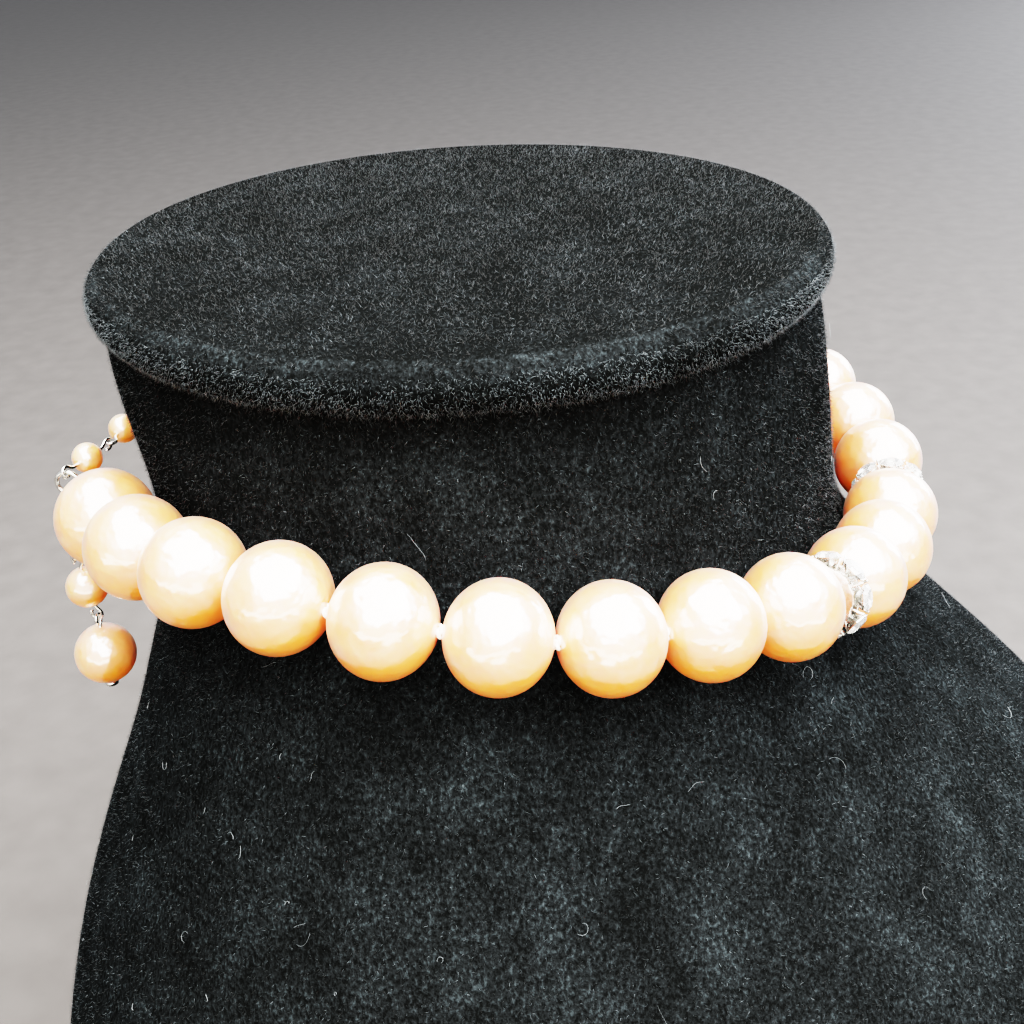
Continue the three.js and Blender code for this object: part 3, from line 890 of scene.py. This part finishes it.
def fibreMesh(name, roots, tips, shares, random):  # one thin closed spike for each fibre
    count = len(roots)
    along = unit(tips - roots)
    one = unit(numpy.cross(along, unit(random.normal(size=(count, 3)))))
    two = numpy.cross(along, one)
    thin = pile["root"] / 2 * mm
    foot = roots - along * pile["sunk"] * mm
    thirds = [2 * math.pi * third / 3 for third in range(3)]
    corners = [foot + thin * (one * math.cos(turn) + two * math.sin(turn)) for turn in thirds] + [tips]
    sides = numpy.array(((0, 1, 3), (1, 2, 3), (2, 0, 3), (2, 1, 0)))
    firsts = len(corners) * numpy.arange(count)
    picks = (sides + firsts[:, None, None]).reshape(-1)
    mesh = bpy.data.meshes.new(name)
    mesh.vertices.add(count * len(corners))
    mesh.vertices.foreach_set("co", numpy.stack(corners, axis=1).reshape(-1))
    mesh.loops.add(len(picks))
    mesh.loops.foreach_set("vertex_index", picks)
    mesh.polygons.add(count * len(sides))
    mesh.polygons.foreach_set("loop_start", numpy.arange(0, len(picks), 3))
    piece = bpy.data.objects.new(name, mesh)
    bpy.context.scene.collection.objects.link(piece)
    shade = random.choice(len(shares), count, p=shares)
    mesh.polygons.foreach_set("material_index", numpy.repeat(shade, len(sides)))
    for material in fibreMaterials:
        mesh.materials.append(material)
    mesh.validate()
    mesh.update()
    return piece


def growPile():
    random = numpy.random.default_rng(pile["seed"])
    triangles = trianglesOf(bust)
    middles = triangles.mean(axis=1)
    pearlCentres = numpy.array([centreOf(node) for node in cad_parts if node.startswith("pearl_")])
    for name, low, high, count, shares in pile["zones"]:
        inZone = (middles[:, 2] > low * mm) & (middles[:, 2] <= high * mm)
        roots, normals = fibreRoots(triangles[inZone], count, random)
        hanging = unit(across(numpy.array((0, 0, -1)), normals))
        loose = unit(across(random.normal(size=roots.shape), normals))
        lay = unit(hanging * pile["hang"] + loose)
        lean = numpy.radians(random.uniform(*pile["lean"], (count, 1)))
        length = random.uniform(*pile["length"], (count, 1)) * mm
        tips = roots + (normals * numpy.cos(lean) + lay * numpy.sin(lean)) * length
        reach = numpy.linalg.norm(tips[:, None] - pearlCentres[None], axis=2).min(axis=1)
        clear = reach > pile["clearOfPearls"] * mm
        piece = fibreMesh(name, roots[clear], tips[clear], shares, random)
        handOver(piece, None, "flock")


lint = {
    "seed": 5,
    "count": 150,
    "low": 60,
    "high": 140,
    "length": (0.8, 4.5),  # more of them short than long
    "thick": 0.04,
    "sides": 3,
    "steps": 9,
    "curl": 0.3,  # how far a hair may turn at each step, radians,
    "waver": 0.2,  # and how far that may change from step to step
    "lift": (0.25, 0.7),  # how high above the surface a hair lies
    "shade": "#666c70",
}


def lintHair(root, normal, random):  # the corners of a thin tube, ring by ring
    heading = Vector(random.normal(size=3))
    heading = (heading - normal * heading.dot(normal)).normalized()
    short, long = lint["length"]
    stride = (short + (long - short) * random.random() ** 2) * mm / lint["steps"]
    turning = random.uniform(-lint["curl"], lint["curl"])
    place = root + normal * random.uniform(*lint["lift"]) * mm
    corners = []
    for step in range(lint["steps"] + 1):
        thin = lint["thick"] / 2 * mm * (0.5 if step in (0, lint["steps"]) else 1)
        aside = heading.cross(normal)
        for side in range(lint["sides"]):
            angle = 2 * math.pi * side / lint["sides"]
            corners.append(place + (normal * math.cos(angle) + aside * math.sin(angle)) * thin)
        place = place + heading * stride
        turning += random.uniform(-lint["waver"], lint["waver"])
        heading = Matrix.Rotation(turning, 3, normal) @ heading
    return corners


def tubeFaces(first):  # closes a hair's rings from its first corner on
    sides, last = lint["sides"], first + lint["steps"] * lint["sides"]
    faces = []
    for ring in range(first, last, sides):
        for side in range(sides):
            a, b = ring + side, ring + (side + 1) % sides
            faces.append((a, a + sides, b + sides, b))
    faces.append(tuple(range(first, first + sides)))
    faces.append(tuple(reversed(range(last, last + sides))))
    return faces


def scatterLint():  # pale hairs that have settled on the pile
    random = numpy.random.default_rng(lint["seed"])
    triangles = trianglesOf(bust)
    heights = triangles[:, :, 2].mean(axis=1)
    inZone = (heights > lint["low"] * mm) & (heights < lint["high"] * mm)
    roots, normals = fibreRoots(triangles[inZone], lint["count"], random)
    corners, faces = [], []
    for root, normal in zip(roots, normals):
        faces += tubeFaces(len(corners))
        corners += lintHair(Vector(root), Vector(normal), random)
    mesh = bpy.data.meshes.new("lint_hairs")
    mesh.from_pydata(corners, [], faces)
    piece = bpy.data.objects.new("lint_hairs", mesh)
    bpy.context.scene.collection.objects.link(piece)
    smooth(piece, 80)
    handOver(piece, flockFibre("pale lint", lint["shade"]), "flock")


fibreMaterials = [flockFibre("flock fibre, shade %d" % (index + 1), shade)
                  for index, shade in enumerate(pile["shades"])]
growPile()
scatterLint()
print("pile done")
